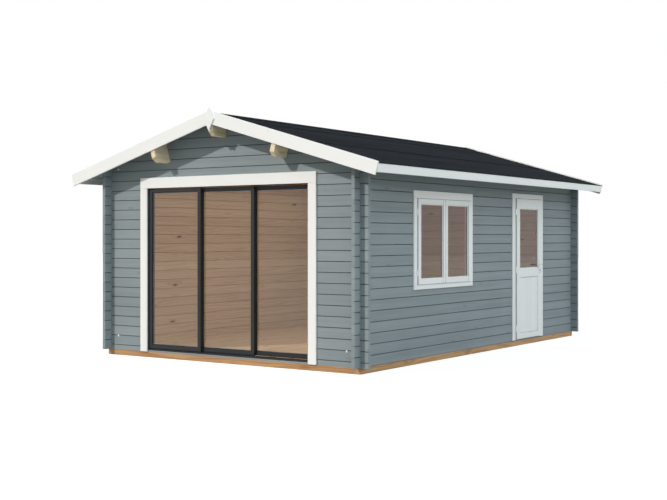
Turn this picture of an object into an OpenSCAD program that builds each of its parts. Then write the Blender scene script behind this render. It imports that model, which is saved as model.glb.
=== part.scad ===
// Garden house of interlocking machined logs on a timber base, with a low gable
// roof in bitumen felt, a three-panel sliding door in the front, and a two-sash
// window and a half-glazed door in the right-hand wall.
// Millimetres, +Z up, front towards -Y. The origin is the centre of the underside.

/* [Walls] */
// Width over the outer faces of the side walls
wall_w = 3600; // [3200:10:4500]
// Length over the outer faces of the front and rear walls
wall_l = 5500; // [4800:10:7000]
// Height of a side wall at its outer face, above the base timbers
side_wall_h = 2148; // [2090:1:2500]
// Height that one log adds to a wall
log_h = 114; // [90:1:140]
// Thickness of a log
log_t = 44; // [34:1:70]
// Length of the log ends that stand past the crossing wall
log_end = 100; // [60:1:160]
// Depth of the V joint between two logs
joint_depth = 4; // [2:0.5:6]
// Height of the V joint between two logs
joint_h = 9; // [4:1:14]

/* [Base and floor] */
// Height of the base timbers
base_h = 65; // [40:1:120]
// Width of the base timbers
base_t = 70; // [45:1:100]
// Number of floor bearers between the front and rear timbers
bearer_count = 7; // [3:2:11]
// Thickness of the floor boards and of the sill strips in the doorways
floor_t = 18; // [14:1:28]

/* [Roof] */
// Pitch of the roof in degrees
roof_pitch = 16.3; // [10:0.1:22]
// Thickness of the roof boards
roof_board_t = 18; // [15:1:25]
// Thickness of the felt
felt_t = 4; // [2:0.5:8]
// How far the felt laps out over the eaves boards
felt_drip = 5; // [0:1:10]
// Outer face of a side wall to the outer face of its eaves board
eaves_overhang = 360; // [200:5:500]
// How far the roof boards stand past the front wall
front_overhang = 230; // [120:5:500]
// How far the roof boards stand past the rear wall
rear_overhang = 200; // [120:5:500]
// Thickness of the eaves boards and bargeboards
trim_t = 18; // [14:1:28]
// Height of the eaves boards
eaves_board_h = 88; // [60:1:120]
// Width of the bargeboards
bargeboard_w = 140; // [100:1:180]
// How far the bargeboards stand above the felt, plumb
bargeboard_rise = 18; // [5:1:40]
// How far the bargeboards run past the eaves boards
bargeboard_past = 13; // [0:1:40]
// Width of the diamond plate at the peak
plate_w = 140; // [80:1:180]
// Height of the diamond plate
plate_h = 259; // [160:1:320]
// Height of the plate's top point above the bargeboards' peak
plate_rise = 33; // [0:1:60]
// Thickness of the diamond plate
plate_t = 16; // [8:1:24]
// Thickness of a purlin
purlin_t = 60; // [44:1:90]
// Depth of a purlin below the roof boards
purlin_h = 235; // [160:1:260]
// Middle of a side purlin's top, out from the ridge line
purlin_x = 895; // [700:5:1100]
// Bevel on the lower corner of each purlin end
purlin_bevel = 48; // [10:1:80]

/* [Sliding door] */
// Width of the opening in the front wall
slide_w = 2350; // [1900:10:2700]
// Height of the opening above the base timbers
slide_h = 1920; // [1800:1:2000]
// Width of the casing boards beside the sliding door
slide_casing_w = 105; // [70:1:140]
// Height of the casing board over the sliding door
slide_casing_head = 122; // [80:1:140]
// How far the casing boards cover the edge of the opening
slide_casing_lap = 20; // [5:1:30]
// Depth of the aluminium frame, from the wall's outer face inwards
slide_frame_depth = 100; // [98:1:140]
// Width of the frame's jambs
slide_jamb = 32; // [20:1:50]
// Height of the frame's head
slide_head = 20; // [15:1:40]
// Height of the track plate at the foot
track_plate = 14; // [8:1:30]
// Height of the three rails above the track plate
track_rail = 5; // [3:1:10]
// Thickness of a sliding panel
panel_t = 26; // [20:1:27]
// Distance from one track to the next
track_pitch = 32; // [32:1:36]
// Front of the outermost panel behind the wall's outer face
panel_setback = 5; // [5:1:10]
// Width of a panel's stiles, and how far neighbouring panels overlap
panel_stile = 45; // [30:1:70]
// Height of a panel's bottom rail
panel_bottom_rail = 46; // [30:1:90]
// Height of a panel's top rail
panel_top_rail = 38; // [30:1:70]

/* [Window] */
// Front wall's outer face to the near edge of the window casing
window_y = 1056; // [700:1:1300]
// Width over the window casing
window_w = 1376; // [1000:1:1500]
// Height over the window casing
window_h = 1092; // [800:1:1200]
// Underside of the window casing above the base timbers
window_z = 756; // [600:1:900]
// Width of the side boards of the window casing
window_casing_side = 65; // [45:1:90]
// Height of the top board of the window casing
window_casing_top = 86; // [50:1:120]
// Height of the bottom board of the window casing
window_casing_bottom = 52; // [40:1:90]
// Width of the outer stiles of the sashes
sash_stile = 64; // [45:1:80]
// Width of the stiles where the sashes meet
sash_meeting = 54; // [35:1:70]
// Height of the top and bottom rails of the sashes
sash_rail = 58; // [45:1:80]

/* [Side door] */
// Front wall's outer face to the near edge of the door casing
door_y = 3531; // [3200:1:3700]
// Width over the door casing
door_w = 930; // [800:1:1000]
// Top of the door casing above the base timbers
door_h = 1895; // [1850:1:1950]
// Width of the side boards of the door casing
door_casing_side = 88; // [70:1:110]
// Height of the head board of the door casing
door_casing_head = 63; // [60:1:80]
// Width of the leaf's stiles
leaf_stile = 93; // [70:1:110]
// Height of the leaf's top rail
leaf_top_rail = 124; // [80:1:140]
// Height of the leaf's bottom rail
leaf_bottom_rail = 70; // [60:1:140]
// Height of the leaf's middle rail
leaf_middle_rail = 113; // [80:1:140]
// Height of the boarded panel between the bottom and middle rails
leaf_panel_h = 723; // [500:1:760]
// Depth that the boarded panel is set back on each face
leaf_panel_recess = 10; // [4:1:14]
// Lever axis above the base timbers
lever_z = 970; // [900:1:1050]
// Lever axis to the closing edge of the leaf
lever_inset = 42; // [36:1:46]
// Length of the lever's grip
lever_len = 118; // [90:1:140]

/* [Joinery] */
// Thickness of the casing boards
casing_t = 18; // [14:1:28]
// Thickness of the door leaf and of the sashes
leaf_t = 40; // [34:1:50]
// How far the door leaf stands proud of its casing
leaf_proud = 15; // [10:1:20]
// How far the sashes stand proud of their casing
sash_proud = 13; // [8:1:20]
// Thickness of the glass
glass_t = 6; // [4:1:10]
// Clearance around the door leaf and the sliding panels
moving_gap = 5; // [5:0.5:8]
// Extra clearance at the closing edge of the leaf
closing_gap = 1; // [1:0.5:3]
// Hairline gap between neighbouring boards
board_gap = 1; // [0.5:0.5:2]
// Hairline gap under the roof boards and under the felt
roof_gap = 0.1; // [0.05:0.05:0.5]
// Width of the frame boards inside the window and door openings
frame_w = 38; // [30:1:50]
// How far a frame board laps behind the leaf or sash
frame_lap = 18; // [12:1:24]

/* [Hidden] */
$fn = 48;

// Walls
side_x = wall_w / 2;
front_y = -wall_l / 2;
rear_y = wall_l / 2;
half_log = log_h / 2;
quarter_log = log_h / 4;
log_side_x = side_x + log_end;
wall_run = wall_l + 2 * log_end;

// Roof, measured plumb at a distance x from the ridge line
slope = tan(roof_pitch);
plumb = 1 / cos(roof_pitch);
ridge_under = base_h + side_wall_h + side_x * slope;
ridge_board_under = ridge_under + roof_gap;
ridge_board_top = ridge_board_under + roof_board_t * plumb;
ridge_felt_under = ridge_board_top + roof_gap;
ridge_felt_top = ridge_felt_under + felt_t * plumb;
ridge_bargeboard = ridge_felt_top + bargeboard_rise;
eaves_x = side_x + eaves_overhang;
board_end_x = eaves_x - trim_t;
roof_front = front_y - front_overhang;
roof_rear = rear_y + rear_overhang;
roof_run = roof_rear - roof_front;

// Sliding door: openings, frame and panels
slide_top = base_h + slide_h;
sill_top = base_h + floor_t;
slide_fit = 3;
slide_casing_in = slide_w / 2 - slide_casing_lap;
slide_casing_out = slide_casing_in + slide_casing_w;
slide_casing_under = slide_top - slide_casing_lap + board_gap;
jamb_out = slide_w / 2 - slide_fit;
jamb_in = jamb_out - slide_jamb;
head_under = slide_top - slide_fit - slide_head;
rail_top = sill_top + track_plate + track_rail;
panel_foot = rail_top + moving_gap;
panel_top = head_under - moving_gap - 2;
panel_span = 2 * (jamb_in - moving_gap);
panel_w = (panel_span + 2 * panel_stile) / 3;
panel_travel = panel_w - panel_stile;

// Window: the sashes sit inside the casing, the frame boards behind them
window_far = window_y + window_w;
window_base = base_h + window_z;
window_head = window_base + window_h;
sash_y0 = window_y + window_casing_side + 2 * board_gap;
sash_y1 = window_far - window_casing_side - 2 * board_gap;
sash_mid = (sash_y0 + sash_y1) / 2;
sash_z0 = window_base + window_casing_bottom + 2 * board_gap;
sash_z1 = window_head - window_casing_top - 2 * board_gap;
sash_front = casing_t + sash_proud;
sash_back = sash_front - leaf_t;
window_cut_y0 = sash_y0 + frame_lap - frame_w;
window_cut_y1 = sash_y1 - frame_lap + frame_w;
window_cut_z0 = sash_z0 + frame_lap - frame_w;
window_cut_z1 = sash_z1 - frame_lap + frame_w;

// Side door: the leaf sits inside the casing, the frame boards behind it
leaf_y0 = door_y + door_casing_side + moving_gap;
leaf_y1 = door_y + door_w - door_casing_side - moving_gap - closing_gap;
leaf_z0 = sill_top + moving_gap + closing_gap;
leaf_z1 = base_h + door_h - door_casing_head - moving_gap;
leaf_front = casing_t + leaf_proud;
leaf_back = leaf_front - leaf_t;
door_cut_y0 = leaf_y0 + frame_lap - frame_w;
door_cut_y1 = leaf_y1 - frame_lap + frame_w;
door_cut_top = leaf_z1 - frame_lap + frame_w;
pane_z0 = leaf_z0 + leaf_bottom_rail + leaf_panel_h + leaf_middle_rail;
pane_z1 = leaf_z1 - leaf_top_rail;
hinge_r = 7;
hinge_pin_r = 4;
hinge_bore_r = 4.1;
hinge_half = 38;
hinge_out = casing_t + hinge_r + 1;
hinge_y = leaf_y0 - hinge_r - 2;
hinge_z = [leaf_z0 + 136, leaf_z0 + 892, leaf_z1 - 170];
plate_half_w = 19;
plate_below = 120;
plate_above = 68;
lock_plate_t = 6;
spindle_r = 5;
spindle_bore_r = 5.1;
lever_y = leaf_y1 - lever_inset;
lever_neck_r = 9;
lever_reach = 42;
grip_r = 7;

function roof_z(top, x) = top - abs(x) * slope;
function joints(z0, z1, first) =
  [for (z = [first : log_h : z1 - joint_h / 2 - 1]) if (z > z0 + joint_h / 2 + 1) z];
side_joints = base_h + log_h;
gable_joints = base_h + half_log;

// Section of a log wall between two heights: 0 is its outer face, log_t its inner
// face, and the top may rise towards the room
module log_section(z0, z1, first, rise = 0) {
  outer = joints(z0, z1, first);
  inner = [for (i = [len(outer) - 1 : -1 : 0]) outer[i]];
  g = joint_h / 2;
  polygon(concat(
    [[0, z0]],
    [for (z = outer) each [[0, z - g], [joint_depth, z], [0, z + g]]],
    [[0, z1], [log_t, z1 + rise]],
    [for (z = inner) each [[log_t, z + g], [log_t - joint_depth, z], [log_t, z - g]]],
    [[log_t, z0]]
  ));
}

// Stretch of a front or rear wall from x0 to x1, with its outer face at y = 0
module cross_logs(x0, x1, z0, z1) {
  translate([x0, 0, 0])
    rotate([90, 0, 90])
      linear_extrude(x1 - x0) log_section(z0, z1, gable_joints);
}

// Stretch of a side wall from v0 to v1 behind the front face, seen from outside
// on the left, with its outer face at x = 0
module side_logs(v0, v1, z0, z1, rise = 0) {
  translate([0, front_y + v1, 0])
    rotate([90, 0, 0])
      linear_extrude(v1 - v0) log_section(z0, z1, side_joints, rise);
}

// Room that the side logs take out of a front or rear wall at a crossing
module side_log_notches(z0, z1) {
  for (z = [base_h + quarter_log : log_h : z1])
    if (z + half_log > z0)
      translate([-log_t / 2, -log_t, z]) cube([log_t, 3 * log_t, half_log]);
}

// Room that the front and rear logs take out of a side wall at a crossing
module cross_log_notches(z0, z1) {
  for (z = [base_h - quarter_log : log_h : z1])
    if (z + half_log > z0)
      translate([-log_t, -log_t / 2, z]) cube([3 * log_t, log_t, half_log]);
}

// The right-hand wall is the left-hand one mirrored
module on_right() {
  mirror([1, 0, 0]) children();
}

module left_side_piece(v0, v1, z0, z1, rise = 0) {
  difference() {
    translate([-side_x, 0, 0]) side_logs(v0, v1, z0, z1, rise);
    if (v0 < 0)
      translate([-side_x, front_y + log_t / 2, 0]) cross_log_notches(z0, z1);
    if (v1 > wall_l)
      translate([-side_x, rear_y - log_t / 2, 0]) cross_log_notches(z0, z1);
  }
}

// Outline of a gable under the roof boards
module gable_outline(z0) {
  polygon([
    [-log_side_x, z0], [log_side_x, z0],
    [log_side_x, roof_z(ridge_under, log_side_x)],
    [0, ridge_under],
    [-log_side_x, roof_z(ridge_under, log_side_x)]
  ]);
}

// Front wall between two heights, from x0 to x1, cut under the roof, round the
// purlins and at the corners; the rear wall is the same turned round
module gable_piece(x0, x1, z0, z1) {
  difference() {
    intersection() {
      translate([0, front_y, 0]) cross_logs(x0, x1, z0, z1);
      translate([0, front_y + 2 * log_t, 0])
        rotate([90, 0, 0]) linear_extrude(3 * log_t) gable_outline(z0);
    }
    for (s = [-1, 1])
      if (x0 < s * side_x && s * side_x < x1)
        translate([s * (side_x - log_t / 2), front_y, 0]) side_log_notches(z0, z1);
    if (z1 > roof_z(ridge_under, 0) - purlin_h)
      purlin_slots(front_y - log_t, 3 * log_t);
  }
}

// Straight bars of the purlins' sections, from y0 over a run; as cutters they
// stand proud of the roof plane by an extra height
module ridge_bar(y0, run, extra = 0) {
  half = purlin_t / 2;
  top = ridge_under + extra;
  translate([0, y0 + run, 0]) rotate([90, 0, 0]) linear_extrude(run)
    polygon([
      [-half, ridge_under - purlin_h], [half, ridge_under - purlin_h],
      [half, roof_z(top, half)], [0, top], [-half, roof_z(top, half)]
    ]);
}

module side_bar(s, y0, run, extra = 0) {
  translate([s * purlin_x, y0, roof_z(ridge_under, purlin_x)])
    rotate([0, s * roof_pitch, 0])
      translate([-purlin_t / 2, 0, -purlin_h]) cube([purlin_t, run, purlin_h + extra]);
}

module purlin_slots(y0, run) {
  ridge_bar(y0, run, log_t);
  for (s = [-1, 1]) side_bar(s, y0, run, log_t);
}

// Bevel cutters for the lower corners of both purlin ends, under a bar whose
// underside is at z = 0
module end_bevels() {
  side = purlin_bevel * sqrt(2);
  for (y = [roof_front, roof_rear])
    translate([0, y, 0]) rotate([45, 0, 0])
      cube([3 * purlin_t, side, side], center = true);
}

// Base and floor
module base_side_beams() {
  color("peru")
    for (s = [-1, 1])
      translate([s * (side_x - base_t / 2) - base_t / 2, front_y, 0])
        cube([base_t, wall_l, base_h]);
}

module base_cross_beams() {
  run = wall_w - 2 * base_t;
  step = (wall_l - base_t) / (bearer_count + 1);
  color("peru")
    for (i = [0 : bearer_count + 1])
      translate([-run / 2, front_y + i * step, 0]) cube([run, base_t, base_h]);
}

module floor() {
  color("burlywood")
    translate([-side_x + log_t, front_y + log_t, base_h])
      cube([wall_w - 2 * log_t, wall_l - 2 * log_t, floor_t]);
}

module door_sills() {
  color("lightslategray") {
    translate([-slide_w / 2, front_y, base_h]) cube([slide_w, log_t, floor_t]);
    translate([side_x - log_t, front_y + door_cut_y0, base_h])
      cube([log_t, door_cut_y1 - door_cut_y0, floor_t]);
  }
}

// Walls
module front_wall_left() {
  color("lightslategray") gable_piece(-log_side_x, -slide_w / 2, base_h, slide_top);
}

module front_wall_right() {
  color("lightslategray") gable_piece(slide_w / 2, log_side_x, base_h, slide_top);
}

module front_gable() {
  color("lightslategray") gable_piece(-log_side_x, log_side_x, slide_top, ridge_under);
}

module rear_wall() {
  color("lightslategray")
    mirror([0, 1, 0]) gable_piece(-log_side_x, log_side_x, base_h, ridge_under);
}

module left_wall() {
  color("lightslategray")
    left_side_piece(-log_end, wall_l + log_end, base_h, base_h + side_wall_h,
      log_t * slope);
}

module right_wall_front() {
  color("lightslategray")
    on_right() left_side_piece(-log_end, window_cut_y0, base_h, door_cut_top);
}

module right_wall_below_window() {
  color("lightslategray")
    on_right() left_side_piece(window_cut_y0, window_cut_y1, base_h, window_cut_z0);
}

module right_wall_above_window() {
  color("lightslategray")
    on_right() left_side_piece(window_cut_y0, window_cut_y1, window_cut_z1, door_cut_top);
}

module right_wall_middle() {
  color("lightslategray")
    on_right() left_side_piece(window_cut_y1, door_cut_y0, base_h, door_cut_top);
}

module right_wall_rear() {
  color("lightslategray")
    on_right() left_side_piece(door_cut_y1, wall_l + log_end, base_h, door_cut_top);
}

module right_wall_top() {
  color("lightslategray")
    on_right()
      left_side_piece(-log_end, wall_l + log_end, door_cut_top, base_h + side_wall_h,
        log_t * slope);
}

// Roof
module ridge_purlin() {
  color("wheat")
    difference() {
      ridge_bar(roof_front, roof_run);
      translate([0, 0, ridge_under - purlin_h]) end_bevels();
    }
}

module side_purlins() {
  color("wheat")
    for (s = [-1, 1])
      difference() {
        side_bar(s, roof_front, roof_run);
        translate([s * purlin_x, 0, roof_z(ridge_under, purlin_x)])
          rotate([0, s * roof_pitch, 0])
            translate([0, 0, -purlin_h]) end_bevels();
      }
}

// One slope of a roof layer, cut plumb at the ridge and at x_end
module roof_layer(under, x_end, thick) {
  up = thick * plumb;
  translate([0, roof_rear, 0]) rotate([90, 0, 0]) linear_extrude(roof_run)
    polygon([
      [0, under], [x_end, roof_z(under, x_end)],
      [x_end, roof_z(under + up, x_end)], [0, under + up]
    ]);
}

module roof_boards_right() {
  color("wheat") roof_layer(ridge_board_under, board_end_x, roof_board_t);
}

module roof_boards_left() {
  color("wheat")
    mirror([1, 0, 0]) roof_layer(ridge_board_under, board_end_x, roof_board_t);
}

module roof_felt() {
  color("darkslategray") {
    roof_layer(ridge_felt_under, eaves_x + felt_drip, felt_t);
    mirror([1, 0, 0]) roof_layer(ridge_felt_under, eaves_x + felt_drip, felt_t);
  }
}

module eaves_boards() {
  color("white")
    for (s = [0, 1])
      mirror([s, 0, 0])
        translate([0, roof_rear, 0]) rotate([90, 0, 0]) linear_extrude(roof_run)
          polygon([
            [board_end_x, roof_z(ridge_board_top, eaves_x) - eaves_board_h],
            [eaves_x, roof_z(ridge_board_top, eaves_x) - eaves_board_h],
            [eaves_x, roof_z(ridge_board_top, eaves_x)],
            [board_end_x, roof_z(ridge_board_top, board_end_x)]
          ]);
}

// A pair of bargeboards, with their backs at y = 0 and standing out towards -Y;
// their plumb joint at the peak is a hairline gap
module bargeboard_pair() {
  tip = eaves_x + bargeboard_past;
  tip_z = roof_z(ridge_bargeboard, tip);
  joint = board_gap / 2;
  for (s = [0, 1])
    mirror([s, 0, 0])
      rotate([90, 0, 0]) linear_extrude(trim_t)
        polygon([
          [joint, roof_z(ridge_bargeboard, joint) - bargeboard_w * plumb],
          [tip - bargeboard_w * sin(roof_pitch), tip_z - bargeboard_w * cos(roof_pitch)],
          [tip, tip_z],
          [joint, roof_z(ridge_bargeboard, joint)]
        ]);
}

module front_bargeboards() {
  color("white") translate([0, roof_front, 0]) bargeboard_pair();
}

module rear_bargeboards() {
  color("white") translate([0, roof_rear, 0]) mirror([0, 1, 0]) bargeboard_pair();
}

// Diamond plate over the joint of a pair of bargeboards, back at y = 0
module diamond_plate() {
  top = ridge_bargeboard + plate_rise;
  rotate([90, 0, 0]) linear_extrude(plate_t)
    polygon([
      [0, top - plate_h], [plate_w / 2, top - plate_h / 2],
      [0, top], [-plate_w / 2, top - plate_h / 2]
    ]);
}

module gable_plates() {
  color("white") {
    translate([0, roof_front - trim_t, 0]) diamond_plate();
    translate([0, roof_rear + trim_t, 0]) mirror([0, 1, 0]) diamond_plate();
  }
}

// Sliding door
module sliding_door_casing() {
  foot = base_h + board_gap;
  color("white")
    translate([0, front_y - casing_t, 0]) {
      for (s = [-1, 1])
        translate([s * (slide_casing_in + slide_casing_out) / 2 - slide_casing_w / 2, 0, foot])
          cube([slide_casing_w, casing_t, slide_casing_under - board_gap - foot]);
      translate([-slide_casing_out, 0, slide_casing_under])
        cube([2 * slide_casing_out, casing_t, slide_casing_head]);
    }
}

module sliding_door_frame() {
  foot = sill_top + track_plate + board_gap;
  color("darkslategray")
    translate([0, front_y, 0]) {
      for (s = [-1, 1])
        translate([s * (jamb_in + slide_jamb / 2) - slide_jamb / 2, 0, foot])
          cube([slide_jamb, slide_frame_depth, head_under - board_gap - foot]);
      translate([-jamb_out, 0, head_under])
        cube([2 * jamb_out, slide_frame_depth, slide_head]);
    }
}

module sliding_door_track() {
  rail_t = 6;
  color("darkslategray")
    translate([0, front_y, sill_top]) {
      translate([-jamb_out, 0, 0]) cube([2 * jamb_out, slide_frame_depth, track_plate]);
      for (i = [0 : 2])
        translate([-jamb_in, panel_setback + i * track_pitch + (panel_t - rail_t) / 2, 0])
          cube([2 * jamb_in, rail_t, track_plate + track_rail]);
    }
}

// Panel i of three: 0 on the left and outermost track, 2 on the right and innermost
module at_panel(i) {
  translate([
    -panel_span / 2 + i * panel_travel,
    front_y + panel_setback + i * track_pitch,
    panel_foot
  ]) children();
}

module panel_frame(i) {
  tall = panel_top - panel_foot;
  color("darkslategray")
    at_panel(i)
      difference() {
        cube([panel_w, panel_t, tall]);
        translate([panel_stile, -1, panel_bottom_rail])
          cube([panel_w - 2 * panel_stile, panel_t + 2,
            tall - panel_bottom_rail - panel_top_rail]);
      }
}

module panel_glass(i) {
  tall = panel_top - panel_foot;
  color("rosybrown", 0.5)
    at_panel(i)
      translate([panel_stile, (panel_t - glass_t) / 2, panel_bottom_rail])
        cube([panel_w - 2 * panel_stile, glass_t, tall - panel_bottom_rail - panel_top_rail]);
}

module sliding_panel_left() { panel_frame(0); }
module sliding_glass_left() { panel_glass(0); }
module sliding_panel_middle() { panel_frame(1); }
module sliding_glass_middle() { panel_glass(1); }
module sliding_panel_right() { panel_frame(2); }
module sliding_glass_right() { panel_glass(2); }

// Joinery in the right-hand wall: x counts outwards from the wall's outer face,
// y back from the front wall's outer face
module on_right_wall() {
  translate([side_x, front_y, 0]) children();
}

module upright(x0, x1, y0, y1, z0, z1) {
  translate([x0, y0, z0]) cube([x1 - x0, y1 - y0, z1 - z0]);
}

// Window
module window_casing() {
  low = window_base + window_casing_bottom;
  high = window_head - window_casing_top;
  color("white")
    on_right_wall() {
      upright(0, casing_t, window_y, window_far, window_base, low - board_gap);
      upright(0, casing_t, window_y, window_far, high + board_gap, window_head);
      upright(0, casing_t, window_y, window_y + window_casing_side, low, high);
      upright(0, casing_t, window_far - window_casing_side, window_far, low, high);
    }
}

module window_frame() {
  y0 = window_cut_y0;
  y1 = window_cut_y1;
  z0 = window_cut_z0;
  z1 = window_cut_z1;
  front = sash_back - board_gap;
  color("wheat")
    on_right_wall() {
      upright(-log_t, front, y0, y1, z0, z0 + frame_w - board_gap);
      upright(-log_t, front, y0, y1, z1 - frame_w + board_gap, z1);
      upright(-log_t, front, y0, y0 + frame_w, z0 + frame_w, z1 - frame_w);
      upright(-log_t, front, y1 - frame_w, y1, z0 + frame_w, z1 - frame_w);
    }
}

// Glass edges of the two sashes
function sash_panes() = [
  [sash_y0 + sash_stile, sash_mid - sash_meeting],
  [sash_mid + sash_meeting, sash_y1 - sash_stile]
];

module window_sashes() {
  outer = [[sash_y0, sash_mid - board_gap], [sash_mid + board_gap, sash_y1]];
  color("white")
    on_right_wall()
      for (i = [0, 1])
        difference() {
          upright(sash_back, sash_front, outer[i][0], outer[i][1], sash_z0, sash_z1);
          upright(sash_back - 1, sash_front + 1, sash_panes()[i][0], sash_panes()[i][1],
            sash_z0 + sash_rail, sash_z1 - sash_rail);
        }
}

module window_glass() {
  mid = (sash_front + sash_back) / 2;
  color("rosybrown", 0.5)
    on_right_wall()
      for (i = [0, 1])
        upright(mid - glass_t / 2, mid + glass_t / 2, sash_panes()[i][0],
          sash_panes()[i][1], sash_z0 + sash_rail, sash_z1 - sash_rail);
}

module window_hinges() {
  r = 6;
  tall = 70;
  color("silver")
    on_right_wall()
      for (y = [sash_y0 - r - board_gap, sash_y1 + r + board_gap])
        for (z = [sash_z0 + 131, sash_z1 - 150])
          translate([casing_t + r, y, z - tall / 2]) cylinder(h = tall, r = r);
}

// Side door
module side_door_casing() {
  foot = base_h + 12;
  under = base_h + door_h - door_casing_head;
  color("white")
    on_right_wall() {
      upright(0, casing_t, door_y, door_y + door_casing_side, foot, under - board_gap);
      upright(0, casing_t, door_y + door_w - door_casing_side, door_y + door_w, foot,
        under - board_gap);
      upright(0, casing_t, door_y, door_y + door_w, under, base_h + door_h);
    }
}

module side_door_frame() {
  front = leaf_back - moving_gap;
  sill = 22;
  color("wheat")
    on_right_wall() {
      upright(-log_t, front, door_cut_y0, door_cut_y0 + frame_w,
        sill_top + sill + board_gap, door_cut_top - frame_w - board_gap);
      upright(-log_t, front, door_cut_y1 - frame_w, door_cut_y1,
        sill_top + sill + board_gap, door_cut_top - frame_w - board_gap);
      upright(-log_t, front, door_cut_y0, door_cut_y1, door_cut_top - frame_w, door_cut_top);
      upright(-log_t, front, door_cut_y0, door_cut_y1, sill_top, sill_top + sill);
    }
}

// Lower half of each lift-off hinge: a knuckle with an upright pin, on an arm
// that screws into the casing
module side_door_hinge_pins() {
  color("silver")
    on_right_wall()
      for (z = hinge_z)
        translate([hinge_out, hinge_y, z]) {
          translate([0, 0, -hinge_half]) cylinder(h = hinge_half - 1, r = hinge_r);
          translate([0, 0, -2]) cylinder(h = 30, r = hinge_pin_r);
          translate([casing_t - hinge_out, 0, -hinge_half / 2])
            rotate([0, 90, 0]) cylinder(h = hinge_out - casing_t, r = 4);
        }
}

// Upper half of each hinge: a bored knuckle on an arm that screws into the leaf
module side_door_hinge_tops() {
  color("silver")
    on_right_wall()
      for (z = hinge_z)
        translate([hinge_out, hinge_y, z])
          difference() {
            union() {
              translate([0, 0, 1]) cylinder(h = hinge_half - 1, r = hinge_r);
              translate([0, 0, hinge_half / 2])
                rotate([-90, 0, 0]) cylinder(h = leaf_y0 - hinge_y, r = 4);
            }
            translate([0, 0, -1]) cylinder(h = 31, r = hinge_bore_r);
          }
}

module side_door_leaf() {
  stile_in = leaf_y0 + leaf_stile;
  stile_out = leaf_y1 - leaf_stile;
  board_z0 = leaf_z0 + leaf_bottom_rail;
  board_z1 = board_z0 + leaf_panel_h;
  color("white")
    on_right_wall()
      difference() {
        upright(leaf_back, leaf_front, leaf_y0, leaf_y1, leaf_z0, leaf_z1);
        upright(leaf_back - 1, leaf_front + 1, stile_in, stile_out, pane_z0, pane_z1);
        upright(leaf_front - leaf_panel_recess, leaf_front + 1, stile_in, stile_out,
          board_z0, board_z1);
        upright(leaf_back - 1, leaf_back + leaf_panel_recess, stile_in, stile_out,
          board_z0, board_z1);
        translate([leaf_back - 1, lever_y, base_h + lever_z])
          rotate([0, 90, 0]) cylinder(h = leaf_t + 2, r = spindle_bore_r);
      }
}

module side_door_glass() {
  mid = (leaf_front + leaf_back) / 2;
  color("rosybrown", 0.5)
    on_right_wall()
      upright(mid - glass_t / 2, mid + glass_t / 2, leaf_y0 + leaf_stile,
        leaf_y1 - leaf_stile, pane_z0, pane_z1);
}

module side_door_lock_plates() {
  color("silver")
    on_right_wall()
      for (x = [leaf_front, leaf_back - lock_plate_t])
        difference() {
          upright(x, x + lock_plate_t, lever_y - plate_half_w, lever_y + plate_half_w,
            base_h + lever_z - plate_below, base_h + lever_z + plate_above);
          translate([x - 1, lever_y, base_h + lever_z])
            rotate([0, 90, 0]) cylinder(h = lock_plate_t + 2, r = spindle_bore_r);
        }
}

// Lever handles on both faces, joined by the spindle through the leaf
module side_door_lever() {
  out_from = leaf_front + lock_plate_t + 1;
  in_from = leaf_back - lock_plate_t - 1;
  color("silver")
    on_right_wall()
      translate([0, lever_y, base_h + lever_z]) {
        translate([in_from - 1, 0, 0]) rotate([0, 90, 0])
          cylinder(h = out_from - in_from + 2, r = spindle_r);
        for (x = [out_from, in_from - lever_reach])
          translate([x, 0, 0]) rotate([0, 90, 0])
            cylinder(h = lever_reach, r = lever_neck_r);
        for (x = [out_from + lever_reach - lever_neck_r, in_from - lever_reach + lever_neck_r])
          translate([x, 0, 0]) rotate([90, 0, 0]) cylinder(h = lever_len, r = grip_r);
      }
}

base_side_beams();
base_cross_beams();
floor();
door_sills();
front_wall_left();
front_wall_right();
front_gable();
rear_wall();
left_wall();
right_wall_front();
right_wall_below_window();
right_wall_above_window();
right_wall_middle();
right_wall_rear();
right_wall_top();
ridge_purlin();
side_purlins();
roof_boards_left();
roof_boards_right();
roof_felt();
eaves_boards();
front_bargeboards();
rear_bargeboards();
gable_plates();
sliding_door_casing();
sliding_door_frame();
sliding_door_track();
sliding_panel_left();
sliding_glass_left();
sliding_panel_middle();
sliding_glass_middle();
sliding_panel_right();
sliding_glass_right();
window_casing();
window_frame();
window_sashes();
window_glass();
window_hinges();
side_door_casing();
side_door_frame();
side_door_hinge_pins();
side_door_leaf();
side_door_glass();
side_door_hinge_tops();
side_door_lock_plates();
side_door_lever();
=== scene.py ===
import math
import random
import bpy
from mathutils import Matrix, Vector


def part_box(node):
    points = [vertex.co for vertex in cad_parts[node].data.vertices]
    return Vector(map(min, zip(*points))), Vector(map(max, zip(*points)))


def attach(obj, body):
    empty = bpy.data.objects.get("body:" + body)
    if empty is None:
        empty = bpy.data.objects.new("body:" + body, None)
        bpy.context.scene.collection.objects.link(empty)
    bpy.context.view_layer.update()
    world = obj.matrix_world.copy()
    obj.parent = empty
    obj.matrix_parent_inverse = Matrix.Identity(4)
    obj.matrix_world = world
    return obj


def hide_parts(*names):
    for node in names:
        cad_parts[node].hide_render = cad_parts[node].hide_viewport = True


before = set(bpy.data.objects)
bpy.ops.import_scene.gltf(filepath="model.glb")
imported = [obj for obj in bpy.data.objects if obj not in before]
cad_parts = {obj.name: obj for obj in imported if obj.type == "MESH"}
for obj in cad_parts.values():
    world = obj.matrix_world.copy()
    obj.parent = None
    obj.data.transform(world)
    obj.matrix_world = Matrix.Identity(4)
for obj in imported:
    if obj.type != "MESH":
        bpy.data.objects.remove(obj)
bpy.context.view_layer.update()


# --- Base timbers ---------------------------------------------------------
# Sawn pine beams, 65 by 70 mm, oiled against damp. Two long side beams carry
# the walls, and cross beams between them carry the front, the rear and the floor.


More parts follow.
